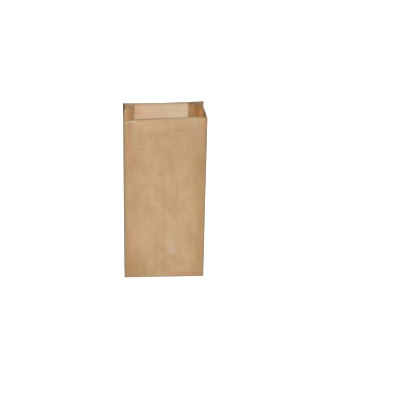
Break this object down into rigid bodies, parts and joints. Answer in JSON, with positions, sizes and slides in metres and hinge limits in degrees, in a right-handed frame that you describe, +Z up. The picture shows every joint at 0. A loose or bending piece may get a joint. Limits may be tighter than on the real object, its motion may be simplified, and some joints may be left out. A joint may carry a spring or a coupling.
{
  "type": "paper lunch bag",
  "caption": "Tall brown paper lunch bag standing open, with folded side gussets, a lapped back seam and a flat folded block bottom.",
  "frame": {"origin": "on the ground under the middle of the folded bottom", "axes": "+Z up towards the open mouth, -Y towards the plain front panel, +Y towards the back panel with the glued seam, X across the panels"},
  "size_m": [0.133, 0.087, 0.28],
  "materials": {
    "kraft_paper": "matte unbleached kraft paper with faint vertical streaks, soft wrinkles and sharp creases"
  },
  "bodies": {
    "root": {"paper_bag": "kraft_paper"}
  },
  "joints": []
}
